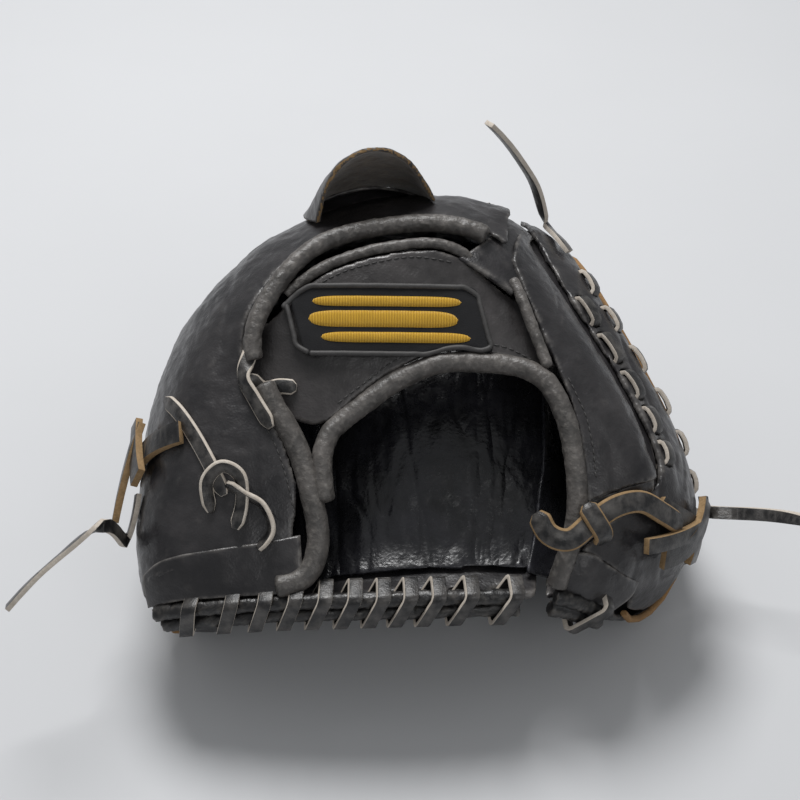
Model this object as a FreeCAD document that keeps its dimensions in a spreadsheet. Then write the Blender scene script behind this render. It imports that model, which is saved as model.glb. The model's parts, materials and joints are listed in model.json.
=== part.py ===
# A catcher's mitt for the left hand, lying palm down, as an assembly of its real leather, felt and lace pieces.
# Millimetres, +Z up. X runs from the little finger side to the thumb side, Y from the heel to the finger tips.
import FreeCAD, Part
import math
import os
from FreeCAD import Vector, Matrix, Placement, Rotation

doc = FreeCAD.newDocument("catchers_mitt")
dims = doc.addObject("Spreadsheet::Sheet", "dims")
DRIVING = [
    ("heel_width", 205.0, "width of the laced heel edge"),
    ("mitt_reach", 258.0, "from the heel edge to the finger top"),
    ("crown_height", 180.0, "height of the knuckles over the floor"),
    ("leather", 2.8, "shell leather"),
    ("lining_leather", 1.6, "soft lining leather"),
    ("felt", 9.0, "felt padding of palm and thumb"),
    ("fit_gap", 0.4, "clearance between layers"),
    ("roll_radius", 4.2, "rolled leather edge of the openings"),
    ("heel_roll_radius", 3.6, "rolled leather edges of the heel"),
    ("welt_radius", 1.7, "seam welt between back and palm"),
    ("strap_leather", 3.2, "wrist strap leather"),
    ("pile", 5.0, "sheepskin pile under the strap"),
    ("patch_thickness", 1.4, "cloth patch on the strap"),
    ("patch_length", 88.0, "patch along the strap"),
    ("lace_width", 6.0, "rawhide lace"),
    ("lace_thickness", 2.2, "rawhide lace"),
    ("hole_gap", 0.35, "clearance of a lace in its hole"),
    ("loop_lace_width", 10.0, "wide lace of the thumb and finger loops"),
    ("hood_rise", 32.0, "finger hood over the back"),
    ("hood_leather", 2.4, "finger hood leather"),
    ("heel_wraps", 11.0, "lace wraps along the heel"),
    ("rim_stitches", 12.0, "lace runs along each rim"),
]
for row, (alias, value, note) in enumerate(DRIVING, start=1):
    dims.set(f"A{row}", alias)
    dims.set(f"B{row}", str(value))
    dims.set(f"C{row}", note)
    dims.setAlias(f"B{row}", alias)
doc.recompute()


def d(alias):
    return float(dims.get(alias))


# The hand-laid points below are given for a mitt of these three sizes and follow the sheet's own.
DRAWN_WIDTH, DRAWN_REACH, DRAWN_CROWN = 205.0, 258.0, 180.0


def laid(point):
    x, y, z = point
    return Vector(
        x * d("heel_width") / DRAWN_WIDTH,
        y * d("mitt_reach") / DRAWN_REACH,
        z * d("crown_height") / DRAWN_CROWN,
    )


def even_knots(count):
    """Knots and multiplicities of a clamped cubic net with so many points."""
    spans = count - 3
    return [i / spans for i in range(spans + 1)], [4] + [1] * (spans - 1) + [4]


def net_surface(grid):
    """A cubic surface through the edges of a grid of points, following it closely inside."""
    knots_v, mults_v = even_knots(len(grid))
    knots_u, mults_u = even_knots(len(grid[0]))
    surface = Part.BSplineSurface()
    surface.buildFromPolesMultsKnots(grid, mults_v, mults_u, knots_v, knots_u, False, False, 3, 3)
    return surface


class Skin:
    """The outer face of one leather panel: a net of laid points, u across each row and v from row to row."""

    def __init__(self, rows, inside):
        self.face = net_surface([[laid(p) if isinstance(p, tuple) else p for p in row] for row in rows])
        self.sign = 1.0 if self.face.normal(0.5, 0.5).dot(laid(inside) - self.point(0.5, 0.5)) > 0 else -1.0

    def point(self, u, v):
        return self.face.value(v, u)

    def inward(self, u, v):
        safe_u, safe_v = min(max(u, 0.001), 0.999), min(max(v, 0.001), 0.999)
        return self.face.normal(safe_v, safe_u) * self.sign

    def at(self, u, v, depth=0.0):
        """The point at a depth inside the panel's outer face; a negative depth lies outside it."""
        return self.point(u, v) + self.inward(u, v) * depth


def value_of(number, u, v):
    return number(u, v) if callable(number) else number


def closed_solid(faces, name):
    shell = Part.makeShell(faces)
    shell.sewShape()
    solid = Part.makeSolid(Part.Shell(shell.Faces))
    if solid.Volume < 0:
        solid.reverse()
    if not solid.isValid() or not solid.isClosed():
        raise RuntimeError(f"{name} isn't a valid solid")
    return solid


def wall_between(row_a, row_b):
    """The straight-ruled face between two edges given by their control points."""
    knots, mults = even_knots(len(row_a))
    surface = Part.BSplineSurface()
    surface.buildFromPolesMultsKnots([row_a, row_b], [2, 2], mults, [0.0, 1.0], knots, False, False, 1, 3)
    return surface


def slab(outer, inner, name):
    """A solid between two grids of points."""
    surfaces = [net_surface(outer), net_surface(inner)]
    for end in (0, -1):
        surfaces.append(wall_between(outer[end], inner[end]))
        surfaces.append(wall_between([row[end] for row in outer], [row[end] for row in inner]))
    return closed_solid([s.toShape() for s in surfaces], name)


def sheet_of(skin, name, u_range=(0.0, 1.0), v_range=(0.0, 1.0), depth=(0.0, 1.0), across=9, along=15):
    """A sheet cut from a skin between two depths. Ranges and depths are numbers or functions."""
    outer, inner = [], []
    for j in range(along):
        share_v = j / (along - 1)
        v = v_range[0] + share_v * (v_range[1] - v_range[0])
        outer_row, inner_row = [], []
        for i in range(across):
            u0, u1 = value_of(u_range[0], 0, v), value_of(u_range[1], 0, v)
            u = u0 + (u1 - u0) * i / (across - 1)
            outer_row.append(skin.at(u, v, value_of(depth[0], u, v)))
            inner_row.append(skin.at(u, v, value_of(depth[1], u, v)))
        outer.append(outer_row)
        inner.append(inner_row)
    return slab(outer, inner, name)


def frames_along(points, count):
    """Places and directions at even steps along a smooth curve through the points."""
    curve = Part.BSplineCurve()
    curve.interpolate(Points=points)
    stops = curve.discretize(Number=count)
    return [(p, curve.tangent(curve.parameter(p))[0]) for p in stops]


def tube(points, radius, name, count=None):
    """A round cord of leather through the points; radius is a number or a function of the share along it."""
    count = count or 3 * len(points)
    rings = []
    side = None
    for i, (place, heading) in enumerate(frames_along(points, count)):
        r = radius(i / (count - 1)) if callable(radius) else radius
        if side is None:
            side = heading.cross(Vector(0, 0, 1) if abs(heading.z) < 0.9 else Vector(1, 0, 0))
        side = (side - heading * side.dot(heading)).normalize()
        circle = Part.Circle(place, heading, r)
        circle.XAxis = side
        rings.append(Part.Wire(circle.toShape()))
    solid = Part.makeLoft(rings, True, True)
    if solid.Volume < 0:
        solid.reverse()
    if not solid.isValid():
        raise RuntimeError(f"{name} isn't a valid solid")
    return solid


def strip(points, normals, width, thickness, count=None):
    """A flat lace through the points, lying square to the normals."""
    count = count or max(4, 3 * len(points))
    facing = Part.BSplineCurve()
    facing.interpolate(Points=[p + n for p, n in zip(points, normals)])
    lines = []
    up_points = facing.discretize(Number=count)
    for (place, heading), up_point in zip(frames_along(points, count), up_points):
        up = up_point - place
        side = heading.cross(up).normalize()
        up = side.cross(heading).normalize()
        corners = [
            place + side * (sx * width / 2) + up * (sz * thickness / 2)
            for sx, sz in ((-1, -1), (1, -1), (1, 1), (-1, 1))
        ]
        lines.append(Part.makePolygon(corners + corners[:1]))
    solid = Part.makeLoft(lines, True, True)
    if solid.Volume < 0:
        solid.reverse()
    return solid


# ---- skins ---------------------------------------------------------------------------------------------------
# Each row of a back skin runs from the outer seam to the edge of the hand or finger opening.
HAND_BACK_ROWS = [
    [(-101, 5, 62), (-103, 1, 70), (-93, -3, 76), (-73, -4, 79), (-53, -3, 80), (-38, 0, 81)],
    [(-92, 14, 30), (-110, 16, 50), (-108, 14, 78), (-84, 11, 95), (-54, 12, 100), (-28, 17, 101)],
    [(-88, 32, 5), (-112, 36, 40), (-109, 36, 88), (-88, 34, 115), (-60, 34, 122), (-32, 36, 119)],
    [(-92, 66, 3), (-115, 66, 44), (-107, 64, 98), (-88, 62, 129), (-70, 60, 138), (-50, 57, 135)],
    [(-98, 108, 3), (-118, 102, 50), (-106, 94, 108), (-84, 88, 141), (-71, 82, 148), (-60, 75, 150)],
    [(-98, 150, 4), (-114, 140, 60), (-96, 124, 122), (-74, 110, 151), (-63, 100, 159), (-54, 91, 161)],
    [(-84, 195, 8), (-98, 176, 70), (-80, 152, 130), (-58, 132, 160), (-47, 121, 168), (-38, 112, 173)],
    [(-52, 236, 22), (-62, 210, 82), (-50, 180, 138), (-34, 156, 166), (-26, 140, 174), (-19, 126, 178)],
    [(-8, 257, 40), (-14, 228, 98), (-8, 196, 146), (2, 168, 170), (8, 150, 177), (13, 133, 180)],
    [(34, 250, 62), (32, 226, 108), (34, 198, 147), (36, 172, 170), (36, 153, 178), (36, 134, 180)],
    [(52, 230, 88), (53, 208, 124), (54, 186, 152), (55, 165, 169), (55, 147, 176), (54, 129, 178)],
    [(63, 204, 120), (65, 188, 143), (66, 173, 158), (66, 156, 168), (65, 140, 173), (63, 121, 173)],
]
SIDE_PANEL_ROWS = [
    [(68, 172, 158), (67, 162, 164), (66, 150, 169), (65, 137, 172), (64, 122, 172)],
    [(78, 140, 153), (75, 132, 159), (72, 124, 164), (70, 115, 166), (67, 106, 165)],
    [(90, 118, 143), (87, 111, 150), (83, 104, 155), (79, 97, 157), (74, 89, 156)],
    [(104, 98, 131), (101, 92, 138), (97, 85, 143), (91, 78, 145), (83, 71, 144)],
    [(116, 78, 120), (114, 72, 126), (110, 66, 130), (102, 60, 132), (91, 53, 130)],
    [(125, 59, 110), (124, 53, 115), (119, 47, 119), (109, 42, 120), (95, 37, 117)],
    [(129, 44, 99), (128, 38, 103), (121, 33, 106), (109, 28, 106), (95, 22, 103)],
]
THUMB_BACK_ROWS = [
    [(109, 9, 58), (110, 4, 67), (104, 1, 73), (95, 0, 77), (84, 0, 80)],
    [(120, 24, 22), (128, 19, 44), (121, 13, 68), (108, 10, 84), (95, 13, 96)],
    [(137, 46, 8), (149, 42, 34), (146, 34, 62), (132, 28, 82), (113, 27, 97)],
    [(150, 64, 22), (157, 58, 43), (154, 51, 67), (145, 46, 84), (133, 43, 94)],
    [(156, 80, 44), (156, 74, 58), (151, 68, 76), (142, 63, 92), (130, 59, 105)],
    [(151, 94, 67), (150, 90, 78), (145, 86, 91), (135, 82, 104), (121, 79, 115)],
    [(136, 110, 93), (135, 107, 101), (130, 104, 110), (121, 102, 119), (108, 100, 127)],
    [(120, 130, 114), (118, 129, 120), (113, 128, 127), (104, 126, 134), (94, 121, 139)],
    [(107, 152, 127), (105, 152, 132), (100, 151, 138), (92, 149, 144), (82, 144, 149)],
    [(99, 176, 128), (97, 176, 133), (92, 176, 140), (84, 176, 147), (73, 174, 155)],
    [(96, 202, 108), (94, 202, 114), (89, 202, 121), (82, 201, 128), (73, 198, 134)],
]
# Each row of a palm skin runs from the seam under the padded rim to the crease of the pocket.
PALM_ROWS = [
    [(-99, 3, 51), (-82, -2, 60), (-57, -4, 65), (-30, -5, 68), (0, -5, 69), (25, -4, 69), (50, -2, 68), (74, 0, 66)],
    [(-92, 14, 30), (-84, 20, 13), (-68, 22, 11), (-50, 20, 34), (-28, 18, 52), (0, 17, 60), (38, 17, 63), (75, 18, 61)],
    [(-88, 32, 5), (-82, 38, 0), (-66, 42, 0), (-52, 40, 26), (-32, 39, 54), (0, 38, 69), (40, 38, 73), (77, 38, 66)],
    [(-92, 66, 3), (-86, 68, 0), (-68, 68, 1), (-56, 67, 30), (-38, 66, 64), (0, 65, 85), (42, 64, 87), (79, 60, 75)],
    [(-98, 108, 3), (-90, 104, 0), (-72, 98, 2), (-58, 95, 36), (-40, 92, 76), (0, 89, 99), (42, 87, 100), (80, 82, 85)],
    [(-98, 150, 4), (-90, 142, 0), (-70, 130, 4), (-56, 124, 42), (-38, 118, 86), (0, 112, 109), (44, 108, 109), (81, 103, 95)],
    [(-84, 195, 8), (-78, 184, 2), (-60, 168, 10), (-48, 154, 50), (-32, 144, 92), (2, 134, 116), (46, 128, 115), (81, 124, 103)],
    [(-52, 236, 22), (-50, 222, 10), (-38, 202, 24), (-28, 184, 62), (-16, 170, 98), (12, 156, 120), (48, 148, 119), (80, 144, 108)],
    [(-8, 257, 40), (-8, 242, 26), (-2, 220, 42), (4, 202, 76), (12, 188, 104), (28, 176, 120), (54, 168, 120), (78, 164, 110)],
    [(34, 250, 62), (35, 238, 50), (37, 222, 60), (41, 208, 84), (46, 199, 102), (53, 192, 112), (63, 187, 113), (75, 182, 107)],
    [(52, 230, 88), (53, 224, 80), (55, 216, 80), (58, 208, 88), (61, 202, 95), (65, 198, 99), (69, 195, 100), (73, 193, 99)],
]
THUMB_PALM_ROWS = [
    [(106, 7, 49), (102, 6, 51), (97, 4, 55), (92, 3, 59), (87, 2, 62), (82, 1, 65), (77, 0, 66)],
    [(120, 24, 22), (120, 30, 12), (113, 32, 9), (104, 28, 22), (96, 24, 38), (87, 20, 52), (78, 18, 60)],
    [(137, 46, 8), (134, 51, -2), (123, 52, -3), (111, 48, 14), (102, 44, 34), (92, 40, 52), (80, 38, 65)],
    [(150, 64, 22), (150, 70, 3), (136, 73, -5), (119, 70, 13), (106, 66, 40), (94, 62, 60), (82, 60, 74)],
    [(156, 80, 44), (159, 88, 14), (144, 94, -5), (125, 91, 15), (110, 87, 45), (97, 84, 69), (83, 82, 84)],
    [(151, 94, 67), (162, 104, 30), (149, 113, -5), (129, 111, 16), (112, 107, 52), (98, 104, 79), (84, 103, 94)],
    [(136, 110, 93), (154, 120, 50), (150, 132, 4), (131, 132, 12), (112, 127, 54), (98, 125, 86), (84, 124, 102)],
    [(120, 130, 114), (142, 141, 66), (145, 154, 14), (127, 154, 14), (108, 148, 60), (95, 146, 92), (83, 144, 107)],
    [(107, 152, 127), (130, 163, 80), (136, 176, 28), (119, 176, 24), (102, 169, 66), (91, 166, 95), (81, 164, 109)],
    [(99, 176, 128), (117, 186, 90), (125, 198, 48), (110, 198, 38), (96, 190, 70), (86, 185, 95), (79, 182, 106)],
    [(96, 202, 108), (106, 207, 92), (111, 212, 72), (103, 213, 60), (92, 206, 74), (84, 200, 90), (77, 196, 99)],
]
hand_back_skin = Skin(HAND_BACK_ROWS, (-60, 110, 100))
side_skin = Skin(SIDE_PANEL_ROWS, (70, 90, 90))
thumb_back_skin = Skin(THUMB_BACK_ROWS, (90, 90, 60))
palm_skin = Skin(PALM_ROWS, (-80, 100, 60))
thumb_palm_skin = Skin(THUMB_PALM_ROWS, (120, 100, 60))


def inset(skin, millimetres, far=False):
    """The u that lies so far inside the skin's seam edge (or its far edge), as a function of v."""

    def place(_, v):
        if far:
            return 1.0 - millimetres / ((skin.point(1.0, v) - skin.point(0.96, v)).Length / 0.04)
        return millimetres / ((skin.point(0.04, v) - skin.point(0.0, v)).Length / 0.04)

    return place


def beyond(skin, v, millimetres, depth):
    """A point past the open edge of a skin, in line with its leather."""
    outward = (skin.point(1.0, v) - skin.point(0.96, v)).normalize()
    return skin.at(1.0, v, depth) + outward * millimetres


def steps(start, end, count):
    return [start + (end - start) * i / (count - 1) for i in range(count)]


def staple(skin, u, v0, v1, rise):
    """Points and facings of a lace that comes out of the leather at v0, lies along it and goes in at v1."""
    thickness = d("lace_thickness")
    along0 = (skin.point(u, v0 + 0.01) - skin.point(u, v0)).normalize()
    along1 = (skin.point(u, v1) - skin.point(u, v1 - 0.01)).normalize()
    out0, out1 = skin.inward(u, v0) * -1.0, skin.inward(u, v1) * -1.0
    middle = (v0 + v1) / 2
    bend = 1.6 * thickness
    low0, low1 = skin.point(u, v0), skin.point(u, v1)
    lift = rise + thickness / 2
    points = [
        low0 - out0 * 6.0,
        low0 - out0 * 2.0,
        low0 + out0 * (lift * 0.72) + along0 * (bend * 0.4),
        low0 + out0 * lift + along0 * bend,
        skin.at(u, middle, -lift - 0.3),
        low1 + out1 * lift - along1 * bend,
        low1 + out1 * (lift * 0.72) - along1 * (bend * 0.4),
        low1 - out1 * 2.0,
        low1 - out1 * 6.0,
    ]
    facings = [
        along0 * -1.0,
        along0 * -1.0,
        (out0 - along0).normalize(),
        out0,
        skin.inward(u, middle) * -1.0,
        out1,
        (out1 + along1).normalize(),
        along1,
        along1,
    ]
    return points, facings


def lace_runs(skin, u, spans, rise=0.4):
    """Running lace over a skin: the laces and the slots they pass through."""
    laces, slots = [], []
    for v0, v1 in spans:
        points, facings = staple(skin, value_of(u, 0, v0), v0, v1, rise)
        gap = 2 * d("hole_gap")
        laces.append(strip(points, facings, d("lace_width"), d("lace_thickness"), 16))
        slots.append(strip(points, facings, d("lace_width") + gap, d("lace_thickness") + gap, 16))
    return Part.makeCompound(laces), Part.makeCompound(slots)


def spread(count, v0, v1, share=0.62):
    pitch = (v1 - v0) / count
    return [(v0 + i * pitch, v0 + i * pitch + share * pitch) for i in range(count)]


LEATHER, GAP, LINING, FELT = d("leather"), d("fit_gap"), d("lining_leather"), d("felt")
SEAM = LEATHER + 2 * GAP
CREASE = 0.4
shapes = {}

# ---- the shell of the finger side ----------------------------------------------------------------------------
rim_u = inset(hand_back_skin, 15.0)
finger_rim_runs, finger_rim_slots = lace_runs(hand_back_skin, rim_u, spread(int(d("rim_stitches")), 0.10, 0.90))
hand_back = sheet_of(
    hand_back_skin, "hand_back", (inset(hand_back_skin, SEAM), 1.0), (0.014, 1.0), (0.0, LEATHER), 11, 23
)
shapes["hand_back"] = hand_back.cut(finger_rim_slots)
shapes["rim_lace_fingers"] = finger_rim_runs
shapes["palm"] = sheet_of(
    palm_skin, "palm", (inset(palm_skin, SEAM), inset(palm_skin, CREASE, True)), (0.0, 0.985), (0.0, LEATHER), 15, 21
)
welt_points = [hand_back_skin.point(0.0, v) for v in steps(0.03, 0.97, 18)]
shapes["finger_welt"] = tube(welt_points, d("welt_radius"), "finger_welt", 26)

FELT_BASE = LEATHER + 2 * GAP


def felt_top(_, v):
    """The felt thins out towards the heel lacing."""
    return FELT_BASE + 1.2 + (FELT - 1.2) * min(1.0, max(0.0, (v - 0.06) / 0.14)) ** 0.7


def lining_base(u, v):
    return felt_top(u, v) + 2.0 * GAP


def lining_top(u, v):
    return lining_base(u, v) + LINING


shapes["palm_felt"] = sheet_of(
    palm_skin, "palm_felt", (0.46, inset(palm_skin, 2.0, True)), (0.07, 0.9), (FELT_BASE, felt_top), 9, 21
)
shapes["palm_lining"] = sheet_of(
    palm_skin,
    "palm_lining",
    (0.34, inset(palm_skin, 0.6, True)),
    (0.04, 0.92),
    (lining_base, lining_top),
    11,
    23,
)


def rim_pad(skin, u, v0, v1, thin, thick, name):
    def grown(share):
        return thin + (thick - thin) * math.sin(math.pi * min(1.0, max(0.0, share)))

    places = steps(0.0, 1.0, 12)
    points = [skin.at(u, v0 + s * (v1 - v0), LEATHER + 3 * GAP + grown(s)) for s in places]
    return tube(points, grown, name, 20)


shapes["finger_rim_felt"] = rim_pad(palm_skin, 0.20, 0.10, 0.88, 5.0, 9.5, "finger_rim_felt")

# ---- the shell of the thumb side -----------------------------------------------------------------------------
thumb_u = inset(thumb_back_skin, 14.0)
thumb_rim_runs, thumb_rim_slots = lace_runs(thumb_back_skin, thumb_u, spread(8, 0.22, 0.90))
seam_u = inset(thumb_back_skin, 9.0, True)
seam_runs, seam_slots = lace_runs(thumb_back_skin, seam_u, spread(5, 0.34, 0.80, 0.7))
thumb_back = sheet_of(
    thumb_back_skin,
    "thumb_back",
    (inset(thumb_back_skin, SEAM), inset(thumb_back_skin, 1.6, True)),
    (0.03, 1.0),
    (0.0, LEATHER),
    9,
    21,
)
shapes["thumb_back"] = thumb_back.cut(Part.makeCompound([thumb_rim_slots, seam_slots]))
shapes["rim_lace_thumb"] = thumb_rim_runs
shapes["seam_lace"] = seam_runs
shapes["thumb_palm"] = sheet_of(
    thumb_palm_skin,
    "thumb_palm",
    (inset(thumb_palm_skin, SEAM), inset(thumb_palm_skin, CREASE, True)),
    (0.0, 0.985),
    (0.0, LEATHER),
    13,
    21,
)
welt_points = [thumb_back_skin.point(0.0, v) for v in steps(0.03, 0.97, 16)]
shapes["thumb_welt"] = tube(welt_points, d("welt_radius"), "thumb_welt", 22)
shapes["thumb_felt"] = rim_pad(thumb_palm_skin, 0.33, 0.18, 0.64, 2.5, 4.2, "thumb_felt")
shapes["thumb_lining"] = sheet_of(
    thumb_palm_skin,
    "thumb_lining",
    (0.62, inset(thumb_palm_skin, 0.6, True)),
    (0.05, 0.92),
    (FELT_BASE + 1.0, FELT_BASE + 1.0 + LINING),
    7,
    15,
)
shapes["side_panel"] = sheet_of(
    side_skin, "side_panel", (inset(side_skin, 1.6), 1.0), (0.04, 1.0), (0.0, LEATHER), 9, 15
)

# ---- rolled edges of the openings ----------------------------------------------------------------------------
ROLL = d("roll_radius")


def edge_roll(skin, v0, v1, name, radius, count=14):
    """A rolled binding lying along the open edge of a skin."""
    reach = radius + 2.5 * GAP
    return tube([beyond(skin, v, reach, LEATHER / 2) for v in steps(v0, v1, count)], radius, name, 2 * count)


shapes["heel_side_roll"] = edge_roll(hand_back_skin, 0.05, 0.24, "heel_side_roll", ROLL, 8)
shapes["back_opening_roll"] = edge_roll(hand_back_skin, 0.31, 0.96, "back_opening_roll", ROLL, 16)
shapes["thumb_opening_roll"] = edge_roll(thumb_back_skin, 0.02, 0.11, "thumb_opening_roll", 0.7 * ROLL, 5)
shapes["side_opening_roll"] = edge_roll(side_skin, 0.12, 0.98, "side_opening_roll", 0.7 * ROLL, 12)

# ---- wrist strap ---------------------------------------------------------------------------------------------
STRAP = d("strap_leather")
strap_drop = LEATHER / 2 + ROLL + GAP + 0.6
STRAP_ROWS = [
    [hand_back_skin.at(0.86, v, strap_drop) for v in steps(0.24, 0.40, 5)],
    [hand_back_skin.at(1.0, v, strap_drop + 0.6) for v in steps(0.225, 0.385, 5)],
    [(-26, 46, 120), (-31, 57, 131), (-36, 66, 139), (-42, 76, 146), (-47, 85, 152)],
    [(-13, 54, 130), (-17, 66, 141), (-21, 77, 151), (-26, 88, 160), (-31, 97, 167)],
    [(3, 66, 138), (1, 77, 150), (-2, 88, 160), (-6, 97, 169), (-9, 106, 175)],
    [(27, 76, 147), (27, 87, 157), (27, 97, 166), (27, 105, 172), (27, 112, 178)],
    [(48, 78, 147), (48, 88, 156), (47, 97, 163), (46, 105, 168), (45, 111, 173)],
    [side_skin.at(1.0, v, strap_drop + 1.0) for v in steps(0.52, 0.22, 5)],
    [side_skin.at(0.72, v, strap_drop) for v in steps(0.55, 0.25, 5)],
]
strap_skin = Skin(STRAP_ROWS, (20, 90, 60))
shapes["wrist_strap"] = sheet_of(strap_skin, "wrist_strap", (0.0, 1.0), (0.0, 1.0), (0.0, STRAP), 8, 18)
shapes["strap_pile"] = sheet_of(
    strap_skin, "strap_pile", (0.05, 0.95), (0.24, 0.80), (STRAP + GAP, STRAP + GAP + d("pile")), 7, 13
)
shapes["strap_patch"] = sheet_of(
    strap_skin, "strap_patch", (0.16, 0.88), (0.33, 0.78), (-GAP - d("patch_thickness"), -GAP), 6, 11
)


def strap_edge(u, v0, v1, radius, name):
    away = -1.0 if u < 0.5 else 1.0
    points = []
    for v in steps(v0, v1, 9):
        out = (strap_skin.point(0.5 + 0.5 * away, v) - strap_skin.point(0.5 + 0.46 * away, v)).normalize()
        points.append(strap_skin.at(u, v, STRAP / 2) + out * (radius + 2.5 * GAP))
    return tube(points, radius, name, 18)


shapes["hand_opening_roll"] = strap_edge(0.0, 0.27, 0.84, ROLL, "hand_opening_roll")
shapes["strap_edge_roll"] = strap_edge(1.0, 0.27, 0.82, 0.6 * ROLL, "strap_edge_roll")

# ---- finger hood ---------------------------------------------------------------------------------------------
HOOD = d("hood_leather")
def hood_row(u, rise, spread_v, lean):
    """One arch of the hood, standing on the back of the mitt at both ends."""
    left = hand_back_skin.at(u, HOOD_V[0] + spread_v, -3.6 * GAP)
    right = hand_back_skin.at(u, HOOD_V[1] - spread_v, -3.6 * GAP)
    row = []
    for turn in HOOD_TURN:
        share = 0.5 - 0.5 * math.cos(math.radians(turn))
        up = d("hood_rise") * rise * math.sin(math.radians(turn))
        row.append(left + (right - left) * share + Vector(lean * up, -0.1 * up, up))
    return row


HOOD_TURN = [30.0 * i for i in range(7)]
HOOD_V = (0.655, 0.865)
HOOD_ROWS = [(0.90, 1.22, 0.0, -0.10), (0.81, 1.16, 0.0, -0.05), (0.70, 0.90, 0.005, 0.0), (0.60, 0.50, 0.02, 0.0)]
hood_skin = Skin([hood_row(*row) for row in HOOD_ROWS], (6, 150, 100))
shapes["finger_hood"] = sheet_of(hood_skin, "finger_hood", (0.0, 1.0), (0.0, 1.0), (0.0, HOOD), 11, 9)

# ---- web between the finger tips and the thumb tip -----------------------------------------------------------
WEB_ROWS = [
    [(71, 199, 121), (76, 199, 125), (81, 199, 124), (86, 200, 118)],
    [(66, 215, 110), (74, 215, 114), (83, 214, 110), (92, 210, 100)],
    [(63, 223, 97), (73, 223, 99), (84, 221, 94), (95, 215, 84)],
    [(63, 218, 88), (73, 219, 88), (83, 217, 83), (92, 213, 76)],
    [(66, 211, 86), (73, 212, 85), (80, 211, 82), (86, 208, 80)],
]
web_skin = Skin(WEB_ROWS, (76, 190, 100))
shapes["web"] = sheet_of(web_skin, "web", (0.0, 1.0), (0.0, 1.0), (0.0, LEATHER), 7, 11)


def rung(start, middle, end, outward):
    width, thickness = 0.8 * d("lace_width"), d("lace_thickness")
    return strip([start, middle, end], [outward] * 3, width, thickness, 7)


def web_rungs(skin, skin_vs, web_u, web_vs, skin_u=1.0):
    """Lace rungs from the edge of a leather tip over to the web."""
    rungs = []
    for v, web_v in zip(skin_vs, web_vs):
        rise = -3 * GAP - d("lace_thickness") / 2
        start, end = skin.at(skin_u, v, rise), web_skin.at(web_u, web_v, rise)
        outward = web_skin.inward(web_u, web_v) * -1.0
        rungs.append(rung(start, (start + end) * 0.5 + outward * 1.5, end, outward))
    return Part.makeCompound(rungs)


# ---- heel binding and its lace -------------------------------------------------------------------------------
HEEL = d("heel_roll_radius")


def heel_frame(skin, u):
    """A place on the heel edge with the directions out of the mitt, along the edge and up."""
    place = skin.point(u, 0.0)
    along = (skin.point(min(1.0, u + 0.02), 0.0) - skin.point(max(0.0, u - 0.02), 0.0)).normalize()
    out = Vector(0, -1, 0)
    out = (out - along * out.dot(along)).normalize()
    up = out.cross(along) * -1.0
    if up.z < 0:
        up = up * -1.0
    return place, out, along, up


def heel_roll(skin, us, lift, name, room=0.0):
    points = []
    for u in us:
        place, out, _, up = heel_frame(skin, u)
        points.append(place + out * (HEEL + GAP) + up * lift)
    return tube(points, HEEL + room, name, 2 * len(us))


LOW_LIFT, HIGH_LIFT = -1.5, -1.5 + 2 * HEEL + GAP
finger_us = steps(0.03, 0.975, 14)
shapes["heel_binding_lower"] = heel_roll(palm_skin, finger_us, LOW_LIFT, "heel_binding_lower")
shapes["heel_binding_upper"] = heel_roll(palm_skin, finger_us, HIGH_LIFT, "heel_binding_upper")
thumb_us = steps(0.08, 0.97, 5)
thumb_rolls = [heel_roll(thumb_palm_skin, thumb_us, lift, "thumb_heel_binding") for lift in (LOW_LIFT, HIGH_LIFT)]
shapes["thumb_heel_binding"] = Part.makeCompound(thumb_rolls)

wrap = doc.addObject("PartDesign::Body", "heel_wrap")
sketch = wrap.newObject("Sketcher::SketchObject", "wrap_profile")
plane = [f for f in wrap.Origin.OriginFeatures if f.Role == "XY_Plane"][0]
sketch.AttachmentSupport = [(plane, "")]
sketch.MapMode = "FlatFace"


def rounded_outline(x0, y0, x1, y1, r):
    """Lines and corner arcs of a rounded rectangle in the open sketch."""
    corners = [(x1 - r, y0 + r, 270), (x1 - r, y1 - r, 0), (x0 + r, y1 - r, 90), (x0 + r, y0 + r, 180)]
    ends = []
    for x, y, start in corners:
        circle = Part.Circle(Vector(x, y, 0), Vector(0, 0, 1), r)
        arc = Part.ArcOfCircle(circle, math.radians(start), math.radians(start + 90))
        sketch.addGeometry(arc, False)
        ends.append((arc.StartPoint, arc.EndPoint))
    for i in range(4):
        sketch.addGeometry(Part.LineSegment(ends[i][1], ends[(i + 1) % 4][0]), False)


FRONT, BACK = 2 * HEEL + 2 * GAP, -3.6
BOTTOM, TOP = LOW_LIFT - HEEL - GAP, HIGH_LIFT + HEEL + GAP
LACE = d("lace_thickness")
rounded_outline(BACK, BOTTOM, FRONT, TOP, 1.5)
rounded_outline(BACK - LACE, BOTTOM - LACE, FRONT + LACE, TOP + LACE, 1.5 + LACE)
pad = wrap.newObject("PartDesign::Pad", "wrap_band")
pad.Profile = sketch
pad.setExpression("Length", "dims.lace_width")
pad.Midplane = True
doc.recompute()


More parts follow.
